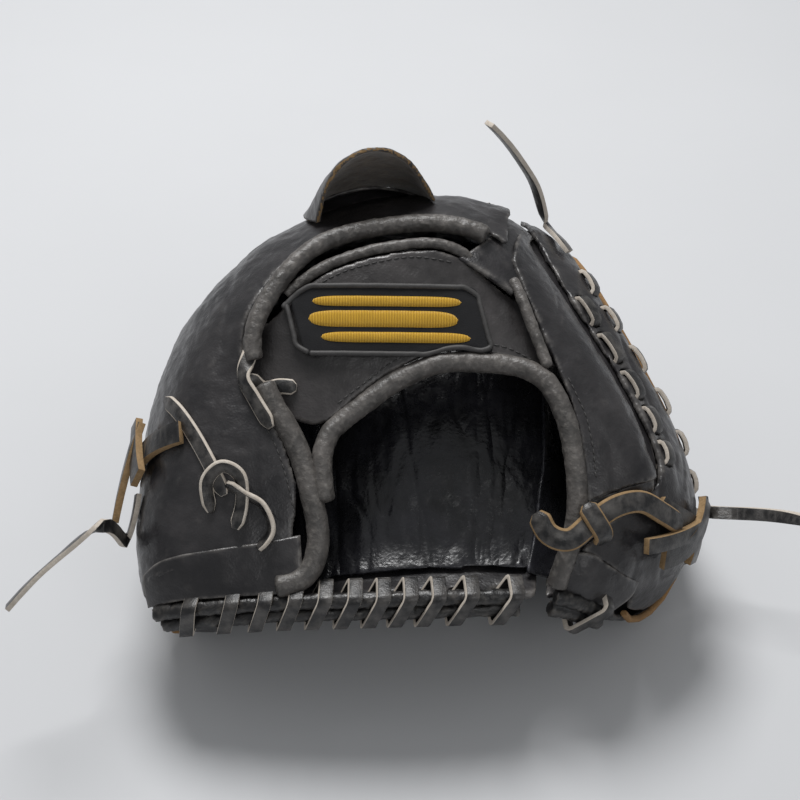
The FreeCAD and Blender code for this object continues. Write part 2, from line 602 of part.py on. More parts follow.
def heel_wraps(skin, us):
    """Lace rings around the heel rolls, and the slots they need in the leather."""
    rings, slots, notches = [], [], []
    for u in us:
        place, out, along, up = heel_frame(skin, u)
        turned = out.cross(up)
        matrix = Matrix(
            out.x, up.x, turned.x, place.x, out.y, up.y, turned.y, place.y, out.z, up.z, turned.z, place.z
        )
        ring = wrap.Shape.copy()
        ring.Placement = Placement(matrix)
        rings.append(ring.Solids[0])
        gap = 2 * d("hole_gap")
        slot = Part.makeBox(LACE + 2 * gap, 24.0, d("lace_width") + 2 * gap)
        slot.translate(Vector(BACK - LACE - gap, -12.0, -d("lace_width") / 2 - gap))
        slot.Placement = Placement(matrix).multiply(slot.Placement)
        slots.append(slot)
        notch = Part.makeBox(FRONT - BACK + 2 * LACE + 2 * gap, TOP - BOTTOM + 2 * LACE + 2 * gap, d("lace_width") + 2 * gap)
        notch.translate(Vector(BACK - LACE - gap, BOTTOM - LACE - gap, -d("lace_width") / 2 - gap))
        notch.Placement = Placement(matrix).multiply(notch.Placement)
        notches.append(notch)
    return Part.makeCompound(rings), Part.makeCompound(slots), Part.makeCompound(notches)


wraps, slots, notches = heel_wraps(palm_skin, steps(0.10, 0.95, int(d("heel_wraps"))))
shapes["heel_lace"] = wraps
shapes["palm"] = shapes["palm"].cut(slots)
roll_clearance = [heel_roll(palm_skin, finger_us, lift, "room for the heel rolls", 1.2) for lift in (LOW_LIFT, HIGH_LIFT)]
shapes["hand_back"] = shapes["hand_back"].cut(Part.makeCompound(roll_clearance)).cut(notches)
wraps, slots, notches = heel_wraps(thumb_palm_skin, [0.36])
shapes["thumb_heel_lace"] = wraps
shapes["thumb_palm"] = shapes["thumb_palm"].cut(slots)

# ---- tied laces ----------------------------------------------------------------------------------------------
WIDE, THICK = d("loop_lace_width"), 3.2


def route(skin, stations):
    """Points and facings of a lace over a skin, from stations of u, v and height over the leather."""
    points = [skin.at(u, v, -height) for u, v, height in stations]
    return points, [skin.inward(u, v) * -1.0 for u, v, _ in stations]


def tied(skin, stations, width, thickness):
    points, facings = route(skin, stations)
    return strip(points, facings, width, thickness, 4 * len(points))


def knot(pieces, name):
    solid = pieces[0].multiFuse(pieces[1:])
    if len(solid.Solids) != 1:
        raise RuntimeError(f"{name} fell apart into {len(solid.Solids)} solids")
    return solid.Solids[0]


# The thick lace of the little finger loop: out over the back, once across itself, two pointed ends.
low, mid = GAP + THICK / 2, GAP + 1.5 * THICK
shapes["little_finger_knot"] = knot(
    [
        tied(hand_back_skin, [(0.70, 0.17, low), (0.55, 0.18, low), (0.40, 0.20, low), (0.28, 0.22, low)], WIDE, THICK),
        tied(hand_back_skin, [(0.46, 0.14, mid), (0.42, 0.19, mid), (0.40, 0.26, mid + 1)], WIDE, THICK),
        tied(hand_back_skin, [(0.43, 0.25, mid), (0.36, 0.19, mid + 2), (0.28, 0.13, mid + 4)], 0.7 * WIDE, THICK),
    ],
    "little_finger_knot",
)
shapes["thumb_knot"] = knot(
    [
        tied(thumb_back_skin, [(0.92, 0.18, low), (0.70, 0.19, low), (0.50, 0.20, low), (0.30, 0.16, low)], WIDE, THICK),
        tied(thumb_back_skin, [(0.62, 0.09, mid), (0.58, 0.18, mid), (0.56, 0.29, mid)], WIDE, THICK),
        tied(thumb_back_skin, [(0.80, 0.08, mid + 3), (0.70, 0.14, mid + 1), (0.60, 0.20, mid)], 0.7 * WIDE, THICK),
    ],
    "thumb_knot",
)
thin_low, thin_mid = GAP + LACE / 2, GAP + 1.5 * LACE
shapes["finger_lace"] = tied(
    hand_back_skin, [(0.66, 0.24, thin_low), (0.71, 0.205, thin_low), (0.77, 0.15, thin_low), (0.82, 0.10, thin_low)], 6, LACE
)
shapes["strap_lace"] = tied(
    hand_back_skin, [(0.93, 0.290, thin_low), (0.93, 0.25, thin_low), (0.93, 0.20, thin_low), (0.92, 0.16, thin_low)], 6, LACE
)


def lace_end(skin, stations, free_points, width, thickness):
    """A stiff lace end that leaves the leather of a skin and stands free."""
    points, facings = route(skin, stations)
    for place in free_points:
        points.append(laid(place))
        facings.append(facings[len(stations) - 1])
    return strip(points, facings, width, thickness, 4 * len(points))


shapes["heel_lace_end"] = lace_end(
    hand_back_skin,
    [(0.38, 0.14, thin_low), (0.33, 0.115, thin_low), (0.28, 0.10, thin_low + 1.5)],
    [(-117, 17, 95), (-131, 8, 90), (-146, -2, 81), (-158, -10, 71)],
    d("lace_width"),
    LACE,
)
shapes["thumb_lace_end"] = lace_end(
    thumb_back_skin,
    [(0.34, 0.33, thin_low), (0.20, 0.35, thin_low + 3.4), (0.08, 0.36, thin_low + 3.4)],
    [(167, 71, 51), (182, 67, 54), (200, 62, 56), (214, 58, 55)],
    d("lace_width"),
    LACE,
)
shapes["top_lace_end"] = lace_end(
    thumb_back_skin,
    [(0.62, 0.90, thin_low), (0.70, 0.94, thin_low), (0.74, 0.97, thin_low + 1.0)],
    [(80, 186, 160), (74, 182, 174), (65, 178, 190), (55, 174, 204)],
    d("lace_width"),
    LACE,
)
finger_rungs = web_rungs(palm_skin, (0.93, 0.93, 0.93), 0.12, (0.5, 0.68, 0.86), 0.12)
back_rungs = web_rungs(hand_back_skin, (0.965, 0.965), 0.12, (0.14, 0.32), 0.3)
shapes["web_lace_fingers"] = Part.makeCompound(finger_rungs.Solids + back_rungs.Solids)
shapes["web_lace_thumb"] = web_rungs(thumb_palm_skin, (0.93, 0.945, 0.96, 0.97), 0.88, (0.2, 0.42, 0.62, 0.82), 0.1)
for leather_name in ("palm", "hand_back", "web"):
    shapes[leather_name] = shapes[leather_name].cut(shapes["web_lace_fingers"])
for leather_name in ("thumb_palm", "thumb_back", "web"):
    shapes[leather_name] = shapes[leather_name].cut(shapes["web_lace_thumb"])

# ---- the nodes -----------------------------------------------------------------------------------------------
# ---- document
low, high = Vector(1e9, 1e9, 1e9), Vector(-1e9, -1e9, -1e9)
for name, shape in shapes.items():
    if shape.isNull() or not shape.isValid():
        raise RuntimeError(f"{name} is empty or not valid")
    for corner in shape.tessellate(0.3)[0]:
        low = Vector(min(low.x, corner.x), min(low.y, corner.y), min(low.z, corner.z))
        high = Vector(max(high.x, corner.x), max(high.y, corner.y), max(high.z, corner.z))
to_origin = Placement(Vector(-(low.x + high.x) / 2, -(low.y + high.y) / 2, -low.z), Rotation())
os.makedirs("parts", exist_ok=True)
for name, shape in shapes.items():
    node = doc.addObject("Part::Feature", name)
    node.Label = name
    node.Shape = shape
    node.Placement = to_origin
doc.recompute()
for item in doc.Objects:
    if "Invalid" in item.State or "Error" in item.State:
        raise RuntimeError(f"{item.Label} is in state {item.State}")
for name in shapes:
    node = doc.getObject(name)
    node.Shape.exportStep(f"parts/{name}.step")
print("nodes", len(shapes), "size", [round(v, 1) for v in (high - low)], "shift", [round(v, 2) for v in to_origin.Base])
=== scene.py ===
# %% [markdown]
# # A black leather catcher's mitt, lying palm down
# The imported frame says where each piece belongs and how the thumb, the web and the finger hood move. This lesson
# dresses that frame: it makes leather from noise and bump, turns stiff solids into soft hide, and gives every lace
# its pale cut edge.

# %% The frame
import json
import math

import bmesh
import bpy
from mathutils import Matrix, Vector, noise
from mathutils.bvhtree import BVHTree


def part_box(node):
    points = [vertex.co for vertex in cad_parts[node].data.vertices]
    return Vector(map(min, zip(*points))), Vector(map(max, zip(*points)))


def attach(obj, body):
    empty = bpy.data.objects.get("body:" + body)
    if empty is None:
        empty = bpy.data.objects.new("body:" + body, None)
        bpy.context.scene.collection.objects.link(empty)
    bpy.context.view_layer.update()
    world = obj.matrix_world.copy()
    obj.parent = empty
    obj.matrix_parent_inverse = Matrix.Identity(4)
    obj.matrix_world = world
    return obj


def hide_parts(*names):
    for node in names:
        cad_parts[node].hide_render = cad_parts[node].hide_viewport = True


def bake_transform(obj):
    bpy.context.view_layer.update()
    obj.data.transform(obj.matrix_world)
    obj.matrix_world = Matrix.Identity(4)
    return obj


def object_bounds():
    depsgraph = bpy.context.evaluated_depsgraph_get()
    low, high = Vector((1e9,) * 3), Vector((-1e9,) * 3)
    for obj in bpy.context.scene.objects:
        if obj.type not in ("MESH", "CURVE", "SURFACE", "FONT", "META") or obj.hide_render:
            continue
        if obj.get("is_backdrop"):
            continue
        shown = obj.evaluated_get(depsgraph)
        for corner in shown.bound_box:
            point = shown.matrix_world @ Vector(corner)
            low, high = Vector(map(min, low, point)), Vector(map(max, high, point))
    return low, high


MM = 0.001
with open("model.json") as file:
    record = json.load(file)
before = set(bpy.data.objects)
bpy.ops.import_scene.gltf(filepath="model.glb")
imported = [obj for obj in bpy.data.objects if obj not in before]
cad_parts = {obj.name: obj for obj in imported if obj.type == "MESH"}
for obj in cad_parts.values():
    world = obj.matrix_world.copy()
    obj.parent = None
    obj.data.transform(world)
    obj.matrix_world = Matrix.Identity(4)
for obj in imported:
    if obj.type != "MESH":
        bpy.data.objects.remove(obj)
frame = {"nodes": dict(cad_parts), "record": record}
NODES = frame["nodes"]
BODY_OF = {node: body for body, nodes in frame["record"]["behaviour"]["bodies"].items() for node in nodes}
cad_low, cad_high = (Vector(corner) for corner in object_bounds())
print("nodes", len(NODES), "size in mm", [round(v / MM, 1) for v in cad_high - cad_low])

# %% [markdown]
# ## Colours and node trees
# A colour is written as an sRGB hex value, as on a paint card, and turned to the linear numbers that a shader mixes.
# One small class holds a material while its nodes are added, so that each finish below reads as a recipe.


# %% Colour
def rgb(code):
    """Linear colour from an sRGB hex value."""
    parts = [int(code[i : i + 2], 16) / 255 for i in (1, 3, 5)]
    return [c / 12.92 if c <= 0.04045 else ((c + 0.055) / 1.055) ** 2.4 for c in parts] + [1.0]


def grey(value):
    return (value, value, value, 1.0)


print("black leather is", [round(c, 4) for c in rgb("#161617")[:3]])


# %% Finish
class Finish:
    """A material under construction. Sizes are real millimetres."""

    def __init__(self, name, roughness=0.5):
        self.material = bpy.data.materials.new(name)
        self.material.use_nodes = True
        self.tree = self.material.node_tree
        self.shader = self.tree.nodes["Principled BSDF"]
        self.shader.inputs["Roughness"].default_value = roughness
        self.place = self.add("ShaderNodeTexCoord").outputs["Object"]

    def add(self, kind, **values):
        node = self.tree.nodes.new(kind)
        for key, value in values.items():
            if key not in node.inputs:
                setattr(node, key, value)
            elif hasattr(value, "is_output"):
                self.tree.links.new(value, node.inputs[key])
            else:
                node.inputs[key].default_value = value
        return node

    def link(self, output, name):
        self.tree.links.new(output, self.shader.inputs[name])

    def noise(self, size_mm, detail=4.0, roughness=0.55):
        made = self.add("ShaderNodeTexNoise", Vector=self.place, Scale=1.0 / (size_mm * MM), Detail=detail)
        made.inputs["Roughness"].default_value = roughness
        return made.outputs["Fac"]

    def cells(self, size_mm):
        return self.add("ShaderNodeTexVoronoi", Vector=self.place, Scale=1.0 / (size_mm * MM)).outputs["Distance"]

    def threads(self, spacing_mm, direction="X", wobble=1.0):
        made = self.add("ShaderNodeTexWave", Vector=self.place, Scale=0.314 / (spacing_mm * MM), Distortion=wobble)
        made.bands_direction = direction
        return made.outputs["Fac"]

    def ramp(self, value, low, high, low_colour, high_colour):
        made = self.add("ShaderNodeValToRGB", Fac=value)
        stops = made.color_ramp.elements
        stops[0].position, stops[1].position = low, high
        stops[0].color, stops[1].color = low_colour, high_colour
        return made.outputs["Color"]

    def mix(self, share, a, b, way="MIX"):
        made = self.add("ShaderNodeMixRGB", blend_type=way)
        for key, value in (("Fac", share), ("Color1", a), ("Color2", b)):
            if hasattr(value, "is_output"):
                self.tree.links.new(value, made.inputs[key])
            else:
                made.inputs[key].default_value = value
        return made.outputs["Color"]

    def bump(self, height, depth_mm, before=None):
        made = self.add("ShaderNodeBump", Height=height, Distance=depth_mm * MM, Strength=1.0)
        if before is not None:
            self.tree.links.new(before, made.inputs["Normal"])
        return made.outputs["Normal"]


# %% [markdown]
# ## Leather
# Mitt leather is cowhide, tanned and dyed black through, then oiled. Its grain side has pores about a millimetre
# apart, creases where the hand bends it, and greyer ridges where the dye has rubbed off. Cloudy noise gives the
# dye, a cell pattern gives the pores, and Pointiness finds the ridges that wear first.


# %% Grained hide
def leather(name, dark, light, worn, wear, roughness, grain_mm=1.1, crease_mm=9.0, crease_depth=0.5):
    hide = Finish(name, roughness)
    cloudy = hide.ramp(hide.noise(22), 0.35, 0.7, rgb(dark), rgb(light))
    ridge = hide.add("ShaderNodeNewGeometry").outputs["Pointiness"]
    ridges = hide.ramp(ridge, 0.505, 0.55, grey(0), grey(1))
    patchy = hide.ramp(hide.noise(6), 0.38, 0.66, grey(0), grey(wear))
    rubbed = hide.mix(1.0, ridges, patchy, "MULTIPLY")
    hide.link(hide.mix(rubbed, cloudy, rgb(worn)), "Base Color")
    creases = hide.bump(hide.noise(crease_mm, 5.0, 0.6), crease_depth)
    hide.link(hide.bump(hide.cells(grain_mm), 0.07, creases), "Normal")
    hide.link(hide.ramp(hide.noise(5), 0.3, 0.7, grey(roughness - 0.08), grey(roughness + 0.1)), "Roughness")
    return hide.material


SHELL = leather("Grained cowhide, black", "#1D1C1E", "#353334", "#7F7B77", 0.6, 0.35)
LINING = leather("Smooth lining leather, black", "#0F0F11", "#222226", "#505056", 0.4, 0.27, 1.6, 7.0, 0.4)
STRAP = leather("Wrist strap cowhide, black", "#272525", "#423F3F", "#847F7B", 0.6, 0.36)
HEEL = leather("Heel binding leather, black", "#0E0E0F", "#1E1D1E", "#77726C", 0.6, 0.36, 0.9, 4.0, 0.4)
LACE_FACE = leather("Rawhide lace, dyed black", "#0F0F10", "#1C1B1C", "#6E6A66", 0.5, 0.38, 0.8, 4.0, 0.2)
print("leathers", 5)

# %% [markdown]
# ## Rolled leather
# The openings are edged with a strip of leather folded round a cord. Folding a strip round a curve puckers it every
# few millimetres, and the pucker tops wear grey, so this finish adds short wrinkles to the same hide.

# %% Puckered roll
PUCKER_MM = 2.6
rolled = Finish("Rolled edge leather, worn grey", 0.46)
base = rolled.ramp(rolled.noise(9), 0.3, 0.7, rgb("#3A3836"), rgb("#5A5653"))
puckers = rolled.noise(PUCKER_MM, 3.0, 0.5)
tops = rolled.ramp(puckers, 0.5, 0.75, grey(0), grey(0.32))
rolled.link(rolled.mix(tops, base, rgb("#928D87")), "Base Color")
rolled.link(rolled.bump(rolled.cells(0.9), 0.06, rolled.bump(puckers, 0.55)), "Normal")
ROLLED = rolled.material
print("puckers every", PUCKER_MM, "mm")

# %% [markdown]
# ## Cut edges, suede, felt and cloth
# Where hide is cut, its undyed middle shows: off-white on the thin laces, tan on the thick ones and on the welt.
# The inside of the finger hood is the flesh side, a brown suede. The patch is twill with satin-stitched bars.


# %% Matt fibres
def fibres(name, colour, other, speck_mm=0.8, depth=0.1, roughness=0.9, sheen=0.0):
    cloth = Finish(name, roughness)
    cloudy = cloth.mix(cloth.noise(speck_mm * 6), rgb(colour), rgb(other))
    specks = cloth.ramp(cloth.noise(speck_mm * 1.5), 0.4, 0.6, grey(0), grey(0.35))
    cloth.link(cloth.mix(specks, cloudy, rgb(other)), "Base Color")
    cloth.link(cloth.bump(cloth.noise(speck_mm, 3.0), depth), "Normal")
    cloth.shader.inputs["Sheen Weight"].default_value = sheen
    return cloth.material


LACE_EDGE = fibres("Cut edge of thin lace, off-white", "#D9D2C8", "#A89C8E", 0.5, 0.08)
TAN_EDGE = fibres("Cut edge of thick lace, tan", "#A98C66", "#6E5738", 0.6, 0.1)
WELT = fibres("Welt leather, tan", "#A98457", "#6F5233", 0.6, 0.1)
SUEDE = fibres("Suede flesh side, brown grey", "#6A5B49", "#2E2823", 0.9, 0.25, 0.95, 0.3)
PILE = fibres("Sheepskin pile, black", "#0B0B0B", "#1C1C1C", 1.3, 1.2, 1.0, 0.4)
FELT = fibres("Pressed wool felt", "#7A7366", "#5F594E", 0.6, 0.2, 1.0)
CLOTH = fibres("Twill patch cloth, black", "#0B0B0D", "#141417", 0.5, 0.14)
THREAD = fibres("Waxed stitching thread, dark grey", "#4A4847", "#2C2B2B", 0.3, 0.05, 0.6)
print("fibre finishes", 8)

# %% Satin stitch
# Rayon thread lies side by side across the stitch, drawn 0.7 mm apart so that each strand shows. Its silky shine is
# painted into the colour as a sheen on every strand, and the same bands bump it.
satin = Finish("Rayon satin stitch, gold", 0.38)
strands_and_painted_sheen = satin.threads(0.7)
# Painted sheen: each strand runs from dark amber in its groove to bright gold on its crown.
satin.link(satin.ramp(strands_and_painted_sheen, 0.0, 1.0, rgb("#A8730F"), rgb("#F2C548")), "Base Color")
satin.link(satin.bump(strands_and_painted_sheen, 0.3), "Normal")
GOLD = satin.material
print("gold bars are satin stitch")

# %% [markdown]
# ## From stiff solid to soft skin
# A voxel remesh gives every panel an even mesh with no seams, a few smoothing passes round its edges, and layered
# noise then moves it in and out along its normals. That is quicker and steadier than a cloth simulation, and hide
# this thick doesn't flow as cloth does.


# %% Soft skin
def copy_of(node, name):
    made = bpy.data.objects.new(name, NODES[node].data.copy())
    made.data.materials.clear()
    bpy.context.collection.objects.link(made)
    return made


def apply_all(obj):
    depsgraph = bpy.context.evaluated_depsgraph_get()
    mesh = bpy.data.meshes.new_from_object(obj.evaluated_get(depsgraph))
    obj.modifiers.clear()
    obj.data = mesh


def finished(obj, body, materials, *nodes):
    """Gives a piece its body, its materials and smooth shading, and hides the parts it stands for."""
    for material in materials:
        obj.data.materials.append(material)
    for polygon in obj.data.polygons:
        polygon.use_smooth = True
    if body:
        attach(obj, body)
    if nodes:
        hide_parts(*nodes)
    return obj


def skin_between(mesh, rows, closed=False):
    """Quads between neighbouring rows of vertices. A closed row joins its last vertex to its first."""
    for first, second in zip(rows, rows[1:]):
        count = len(first)
        for j in range(count if closed else count - 1):
            k = (j + 1) % count
            if closed:
                mesh.faces.new((first[j], first[k], second[k], second[j]))
            else:
                mesh.faces.new((first[j], second[j], second[k], first[k]))


def mesh_piece(name, mesh, body, materials, *nodes):
    """A new object from a bmesh, finished like every other piece."""
    bmesh.ops.recalc_face_normals(mesh, faces=mesh.faces)
    data = bpy.data.meshes.new(name)
    mesh.to_mesh(data)
    mesh.free()
    obj = bpy.data.objects.new(name, data)
    bpy.context.collection.objects.link(obj)
    return finished(obj, body, materials, *nodes)


# %% Smooth lines
def smooth_line(points, per_run=10):
    """A Catmull-Rom line through points in millimetres, returned in metres."""
    places = [Vector(p) * MM for p in points]
    places = [places[0] * 2 - places[1]] + places + [places[-1] * 2 - places[-2]]
    line = []
    for a, b, c, d in zip(places, places[1:], places[2:], places[3:]):
        for i in range(per_run):
            t = i / per_run
            bend = (2 * a - 5 * b + 4 * c - d) * t**2 + (3 * b - a - 3 * c + d) * t**3
            line.append(0.5 * (2 * b + (c - a) * t + bend))
    return line + [places[-2]]


print("a line through 3 places has", len(smooth_line([(0, 0, 0), (1, 0, 0), (2, 1, 0)])), "points")


# %% Creases
def crease(obj, depth_mm, size_mm, stretch=(1, 1, 1), seed=0.0, folds=()):
    """Layered noise along the normals, and sharper folds given as (depth, size, stretch)."""
    mesh = obj.data
    before = [(vertex.co.copy(), vertex.normal.copy()) for vertex in mesh.vertices]
    moved = []
    for co, normal in before:
        spread = Vector([co[i] * stretch[i] for i in range(3)])
        lift = noise.fractal(spread / (size_mm * MM) + Vector((seed, seed, seed)), 0.8, 2.1, 4) * depth_mm
        for depth, size, pull in folds:
            pulled = Vector([co[i] * pull[i] for i in range(3)])
            wave = noise.noise(pulled / (size * MM) + Vector((7, seed, 3)))
            lift -= math.exp(-((wave / 0.09) ** 2)) * depth
        moved.extend(co + normal * lift * MM)
    mesh.vertices.foreach_set("co", moved)
    mesh.update()


def soft(node, name, material, voxel_mm=1.5, depth=0.5, size=18.0, smooth=3, **more):
    obj = copy_of(node, name)
    remesh = obj.modifiers.new("even mesh", "REMESH")
    remesh.mode = "VOXEL"
    remesh.voxel_size = voxel_mm * MM
    relax = obj.modifiers.new("relax", "SMOOTH")
    relax.factor = 0.5
    relax.iterations = smooth
    apply_all(obj)
    if depth:
        crease(obj, depth, size, **more)
    return finished(obj, BODY_OF[node], [material], node)


def tree_of(obj):
    mesh = obj.data
    return BVHTree.FromPolygons([v.co for v in mesh.vertices], [p.vertices for p in mesh.polygons])


# %% [markdown]
# ## The shell
# The shell is the outer hide: one panel over the backs of the fingers, one beside the wrist hole, the thumb, the
# palm, the strap and the web. They could be subdivided grids, but the solids already have the right curves, so each
# is remeshed instead. The noise is stretched so that long soft folds run from the heel towards the fingertips, as
# they do on a mitt that has been broken in.

# %% Shell panels
ALONG = (1.0, 0.35, 0.6)
hand_back = soft("hand_back", "hand_back_skin", SHELL, 1.4, 0.9, 22, seed=2.0, folds=[(0.4, 34, (1.1, 0.3, 0.5))])
side_panel = soft("side_panel", "side_panel_skin", SHELL, 1.1, 0.5, 18, seed=4.0, folds=[(0.5, 18, ALONG)])
thumb_back = soft("thumb_back", "thumb_back_skin", SHELL, 1.2, 0.7, 20, seed=5.0, folds=[(0.7, 18, ALONG)])
palm = soft("palm", "palm_skin", SHELL, 1.6, 0.6, 24, seed=8.0)
thumb_palm = soft("thumb_palm", "thumb_palm_skin", SHELL, 1.4, 0.7, 20, seed=9.0, folds=[(0.6, 18, ALONG)])
strap = soft("wrist_strap", "wrist_strap_skin", STRAP, 1.1, 0.4, 20, seed=13.0)
web = soft("web", "web_skin", SHELL, 1.2, 0.3, 16, seed=15.0)
shell = (hand_back, side_panel, thumb_back, palm, thumb_palm, strap, web)
print("shell faces", sum(len(panel.data.polygons) for panel in shell))

# %% [markdown]
# ## The lining
# The palm lining is thinner and oiled by the hand. It lies in long narrow wrinkles that start at the heel, so its
# folds are pulled out nearly four times along the hand.

# %% Lining
LONG = (1.3, 0.26, 0.5)
wrinkles = [(0.8, 30, LONG), (0.3, 13, (1.2, 0.3, 0.6))]
lining = soft("palm_lining", "palm_lining_skin", LINING, 1.2, 0.8, 20, stretch=LONG, seed=11.0, folds=wrinkles)
thumb_lining = soft("thumb_lining", "thumb_lining_skin", LINING, 1.2, 0.6, 18, stretch=LONG, seed=12.0, folds=wrinkles)
print("lining faces", len(lining.data.polygons) + len(thumb_lining.data.polygons))

# %% [markdown]
# ## Felt and pile
# Felt pads stiffen the rim and the pocket, and sheepskin pile under the strap keeps the wrist from rubbing. Hair
# strands would be heavy for a part that is mostly hidden, so the pile is a skin with short deep noise.

# %% Felt and pile
for node in ("palm_felt", "finger_rim_felt", "thumb_felt"):
    soft(node, node + "_skin", FELT, 2.2, 0.4, 12)
pile = soft("strap_pile", "strap_pile_skin", PILE, 0.9, 1.5, 2.6, 1, seed=19.0)
print("pile faces", len(pile.data.polygons))

# %% [markdown]
# ## The finger hood
# A loop of leather that covers the finger outside the mitt. Its grain side is out, its flesh side in, and its far
# end is sewn down. Each face is given its finish by whether it looks at the middle of the loop.

# %% Hood
hood = soft("finger_hood", "finger_hood_skin", SHELL, 0.9, 0.5, 14, seed=17.0)
low, high = (Vector(corner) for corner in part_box("finger_hood"))
middle = (low + high) / 2
foot = low.z + 0.10 * (high.z - low.z)
for vertex in hood.data.vertices:
    back = min(1.0, max(0.0, (vertex.co.y - low.y) / (high.y - low.y) - 0.15))
    vertex.co.z = foot + (vertex.co.z - foot) * (1 - 0.72 * back * back)
hood.data.update()
hood.data.materials.append(SUEDE)
hood.data.materials.append(TAN_EDGE)
hood_rays = tree_of(hood)
for polygon in hood.data.polygons:
    inward = Vector((middle.x, polygon.center.y, foot)) - polygon.center
    facing = polygon.normal.dot(inward.normalized())
    depth = hood_rays.ray_cast(polygon.center - polygon.normal * 0.2 * MM, -polygon.normal, 0.1)[3] or 1.0
    rim = polygon.normal.y < -0.3 and depth > 4.5 * MM
    polygon.material_index = 2 if rim else (1 if facing > 0.1 else 0)
print("hood faces", len(hood.data.polygons))


# %% [markdown]
# ## The end of the hood
# The far end of the loop is folded down and sewn to the back, so no daylight shows through it. A short wall is hung
# from the loop's far edge down to the back panel, found by a ray cast straight down.


# %% Hood end
def far_edge(obj, count=18):
    """For even steps in x, the vertex of the loop that lies furthest back."""
    places = [v.co for v in obj.data.vertices]
    left, right = min(p.x for p in places), max(p.x for p in places)
    edge = []
    for i in range(count):
        wanted = left + (right - left) * (i + 0.5) / count
        near = [p for p in places if abs(p.x - wanted) < 1.6 * MM]
        edge.append(max(near, key=lambda p: p.y + 0.5 * p.z))
    return edge


DOWN = Vector((0, 0, -1))
back_tree = tree_of(hand_back)
wall = bmesh.new()
columns = []
for place in far_edge(hood):
    base = back_tree.ray_cast(place + Vector((0, 5, 20)) * MM, DOWN, 0.2)[0]
    if base is None:
        base = place - Vector((0, 0, 10)) * MM
    start = place + Vector((0, -3.0, 0.6)) * MM
    column = [start.lerp(base, j / 8) + Vector((0, math.sin(math.pi * j / 8) * 2.5, 0)) * MM for j in range(9)]
    columns.append([wall.verts.new(p) for p in column])
skin_between(wall, columns)
hood_end = mesh_piece("finger_hood_end", wall, BODY_OF["finger_hood"], [SHELL])
thick = hood_end.modifiers.new("hide thickness", "SOLIDIFY")
thick.thickness = 1.4 * MM
apply_all(hood_end)
print("hood end columns", len(columns))

# %% [markdown]
# ## Rolls, bindings and welts
# Rolls and bindings are the same soft skin at a finer mesh. The welt is the tan strip sewn between back and palm.

# %% Edges
for node in ("back_opening_roll", "strap_edge_roll"):
    soft(node, node + "_skin", ROLLED, 0.8, 0.35, 3.4, 3, seed=3.0)
for node in ("heel_binding_lower", "heel_binding_upper", "thumb_heel_binding"):
    soft(node, node + "_skin", HEEL, 0.9, 0.5, 5.0, 3, seed=6.0)
for node in ("finger_welt", "thumb_welt"):
    soft(node, node + "_skin", WELT, 0.55, 0.05, 7, 2)
print("edges done")

# %% [markdown]
# ## The rolled hand opening
# On the mitt one roll runs all the way round the wrist hole, from the heel, up over the strap and down to the heel
# again, and a second, thicker one ties the strap to the heel. Each is swept along a smooth line through the places
# of the short solids, so that it reads as one strip.


# %% Roll
ROUND = 28  # sides of a roll
PUCKER_SIZE = 3.0 * MM


def roll(name, body, points, radius_mm, material, *nodes, pucker_mm=0.3):
    """A round roll with rounded ends and small puckers."""
    line = smooth_line(points, 14)
    mesh = bmesh.new()
    side = Vector((0, 0, 1))
    rings = []
    for i, place in enumerate(line):
        ahead = (line[min(i + 1, len(line) - 1)] - line[max(i - 1, 0)]).normalized()
        side = (side - ahead * side.dot(ahead)).normalized()
        other = ahead.cross(side)
        end = min(i, len(line) - 1 - i) / 3
        radius = radius_mm * (math.sqrt(1 - (1 - min(end, 1)) ** 2) if end < 1 else 1.0)
        ring = []
        for j in range(ROUND):
            turn = j / ROUND * math.tau
            out = side * math.cos(turn) + other * math.sin(turn)
            bulge = noise.noise((place + out * radius * MM) / PUCKER_SIZE) * pucker_mm if radius > 0.3 else 0.0
            ring.append(mesh.verts.new(place + out * (max(radius, 0.05) + bulge) * MM))
        rings.append(ring)
    skin_between(mesh, rings, closed=True)
    mesh.faces.new(rings[0])
    mesh.faces.new(rings[-1])
    return mesh_piece(name, mesh, body, [material], *nodes)


# %% Rolls round the opening
ARCH = [(-47, -98, 103), (-48.5, -89, 110.5), (-48.5, -81, 116.5), (-46, -74, 121), (-41, -68.5, 124)]
ARCH += [(-31, -62.4, 129)]
ARCH += [(-20, -55.5, 134), (-9, -51, 138), (1, -48, 140.5), (11.4, -46.5, 141), (22.9, -46.5, 140.5), (34, -47.5, 140)]
ARCH += [(44.5, -51, 139), (52.5, -57.5, 135.5), (59, -69, 126.6), (62, -80, 117), (63.4, -91, 107.5), (63, -101, 98)]
ARCH += [(60, -110, 88), (56.5, -116, 79), (54, -119.5, 72)]
STAY = [(-75, -58, 138.5), (-70.5, -65, 132), (-65, -71.5, 126), (-60, -78.5, 119), (-56, -87, 112), (-53, -96, 104.5)]
STAY += [(-50.5, -105, 96), (-50.5, -112.5, 88.5), (-54, -119, 82), (-61, -123.5, 79), (-69, -125, 78.5)]
SIDE = [(36.5, -14, 163.5), (40.5, -24, 159), (44.8, -35, 152.3), (49, -45, 145.5), (51.5, -51.5, 141.5)]
roll("hand_opening_roll_skin", "mitt", ARCH, 4.6, ROLLED, "hand_opening_roll", "side_opening_roll")
roll("heel_side_roll_skin", "mitt", STAY, 5.0, ROLLED, "heel_side_roll", pucker_mm=0.2)
roll("side_opening_roll_skin", "mitt", SIDE, 2.6, ROLLED)
soft("thumb_opening_roll", "thumb_opening_roll_skin", SHELL, 0.8, 0.2, 4, 3)
arch_line = smooth_line(ARCH)
print("opening roll is", round(sum((b - a).length for a, b in zip(arch_line, arch_line[1:])) / MM), "mm long")
